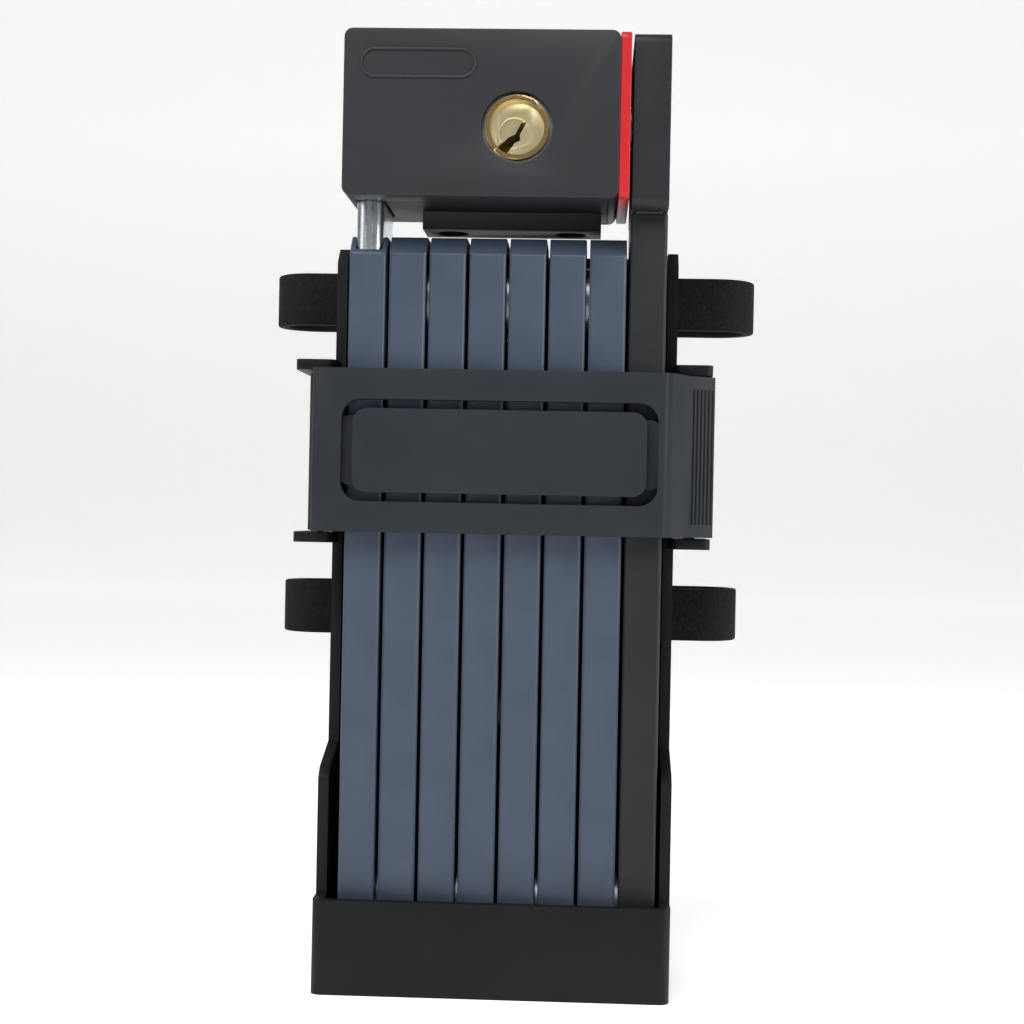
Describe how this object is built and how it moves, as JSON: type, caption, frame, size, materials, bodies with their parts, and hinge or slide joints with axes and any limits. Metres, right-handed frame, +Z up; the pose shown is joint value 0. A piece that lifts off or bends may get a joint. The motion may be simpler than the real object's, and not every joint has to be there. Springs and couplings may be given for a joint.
{
  "type": "folding bike lock",
  "caption": "Folding link lock with a keyed case, resting upright in a cup-shaped frame holder with an elastic strap and hook-and-loop straps.",
  "frame": {"origin": "middle of the link stack on the underside of the holder cup", "axes": "+Z up along the links, -Y towards the front with the keyhole, +X across the stack towards the arm"},
  "size_m": [0.098, 0.0497, 0.1789],
  "materials": {
    "holder_plastic": "fine moulded texture",
    "strap_elastomer": "satin elastomer",
    "hook_webbing": "woven hook-and-loop",
    "zinc_steel": "zinc plated",
    "case_plastic": "soft-touch",
    "red_plastic": "satin",
    "arm_plastic": "fine moulded texture",
    "polished_brass": "polished",
    "plug_brass": "turned",
    "tongue_zinc": "bright zinc plated",
    "coat_plastic": "silky moulded"
  },
  "bodies": {
    "holder": {"holder_shell": "holder_plastic", "strap_pin": "zinc_steel", "hook_strap_upper": "hook_webbing", "hook_strap_lower": "hook_webbing"},
    "strap_band": {"strap": "strap_elastomer"},
    "lock_case": {"case_shell": "case_plastic", "bottom_cover": "case_plastic", "cover_screws": "zinc_steel", "lock_block": "zinc_steel", "end_plate": "red_plastic", "arm_core": "zinc_steel", "arm_cover": "arm_plastic", "arm_cap": "arm_plastic", "case_rivet": "zinc_steel", "cylinder_housing": "polished_brass", "driver_pins": "zinc_steel", "pin_springs": "zinc_steel", "latch_spring": "zinc_steel", "rivet_7": "zinc_steel", "washer_7": "zinc_steel"},
    "plug": {"key_plug": "plug_brass", "key_pins": "plug_brass", "cam": "zinc_steel", "cam_screw": "zinc_steel"},
    "latch_bolt": {"latch": "zinc_steel"},
    "link_7": {"bar_7_core": "zinc_steel", "bar_7_coat": "coat_plastic", "rivet_6": "zinc_steel", "washer_6": "zinc_steel"},
    "link_6": {"bar_6_core": "zinc_steel", "bar_6_coat": "coat_plastic", "rivet_5": "zinc_steel", "washer_5": "zinc_steel"},
    "link_5": {"bar_5_core": "zinc_steel", "bar_5_coat": "coat_plastic", "rivet_4": "zinc_steel", "washer_4": "zinc_steel"},
    "link_4": {"bar_4_core": "zinc_steel", "bar_4_coat": "coat_plastic", "rivet_3": "zinc_steel", "washer_3": "zinc_steel"},
    "link_3": {"bar_3_core": "zinc_steel", "bar_3_coat": "coat_plastic", "rivet_2": "zinc_steel", "washer_2": "zinc_steel"},
    "link_2": {"bar_2_core": "zinc_steel", "bar_2_coat": "coat_plastic", "rivet_1": "zinc_steel", "washer_1": "zinc_steel"},
    "link_1": {"bar_1_core": "tongue_zinc", "bar_1_coat": "coat_plastic"}
  },
  "joints": [
    {"name": "lock_lift", "type": "slide", "parent": "holder", "child": "lock_case", "axis": [0, 0, 1], "range_m": [0, 0.3]},
    {"name": "strap_swing", "type": "hinge", "parent": "holder", "child": "strap_band", "pos_m": [-0.0364, 0.001, 0.101], "axis": [0, 0, -1], "range_deg": [0, 110], "deforming": ["strap"]},
    {"name": "key_turn", "type": "hinge", "parent": "lock_case", "child": "plug", "pos_m": [0.0014, 0, 0.1609], "axis": [0, 1, 0], "range_deg": [0, 90]},
    {"name": "latch_slide", "type": "slide", "parent": "lock_case", "child": "latch_bolt", "axis": [1, 0, 0], "range_m": [0, 0.00451], "deforming": ["latch_spring"]},
    {"name": "fold_7", "type": "hinge", "parent": "lock_case", "child": "link_7", "pos_m": [0.0225, 0, 0.0149], "axis": [1, 0, 0], "range_deg": [0, 100.01]},
    {"name": "fold_6", "type": "hinge", "parent": "link_7", "child": "link_6", "pos_m": [0.015, 0, 0.1299], "axis": [1, 0, 0], "range_deg": [-30.01, 0]},
    {"name": "fold_5", "type": "hinge", "parent": "link_6", "child": "link_5", "pos_m": [0.0075, 0, 0.0149], "axis": [1, 0, 0], "range_deg": [0, 20.01]},
    {"name": "fold_4", "type": "hinge", "parent": "link_5", "child": "link_4", "pos_m": [0, 0, 0.1299], "axis": [1, 0, 0], "range_deg": [0, 10.01]},
    {"name": "fold_3", "type": "hinge", "parent": "link_4", "child": "link_3", "pos_m": [-0.0075, 0, 0.0149], "axis": [1, 0, 0], "range_deg": [-30.01, 0]},
    {"name": "fold_2", "type": "hinge", "parent": "link_3", "child": "link_2", "pos_m": [-0.015, 0, 0.1299], "axis": [1, 0, 0], "range_deg": [0, 20.01]},
    {"name": "fold_1", "type": "hinge", "parent": "link_2", "child": "link_1", "pos_m": [-0.0225, 0, 0.0149], "axis": [1, 0, 0], "range_deg": [-90.01, 0]}
  ],
  "couplings": [
    {"joint": "latch_slide", "follows": "key_turn", "m_per_rad": 0.0028648},
    {"joint": "fold_7", "follows": "lock_lift", "rad_per_m": 5.8178},
    {"joint": "fold_6", "follows": "lock_lift", "rad_per_m": -1.7453},
    {"joint": "fold_5", "follows": "lock_lift", "rad_per_m": 1.1636},
    {"joint": "fold_4", "follows": "lock_lift", "rad_per_m": 0.58178},
    {"joint": "fold_3", "follows": "lock_lift", "rad_per_m": -1.7453},
    {"joint": "fold_2", "follows": "lock_lift", "rad_per_m": 1.1636},
    {"joint": "fold_1", "follows": "lock_lift", "rad_per_m": -5.236}
  ]
}
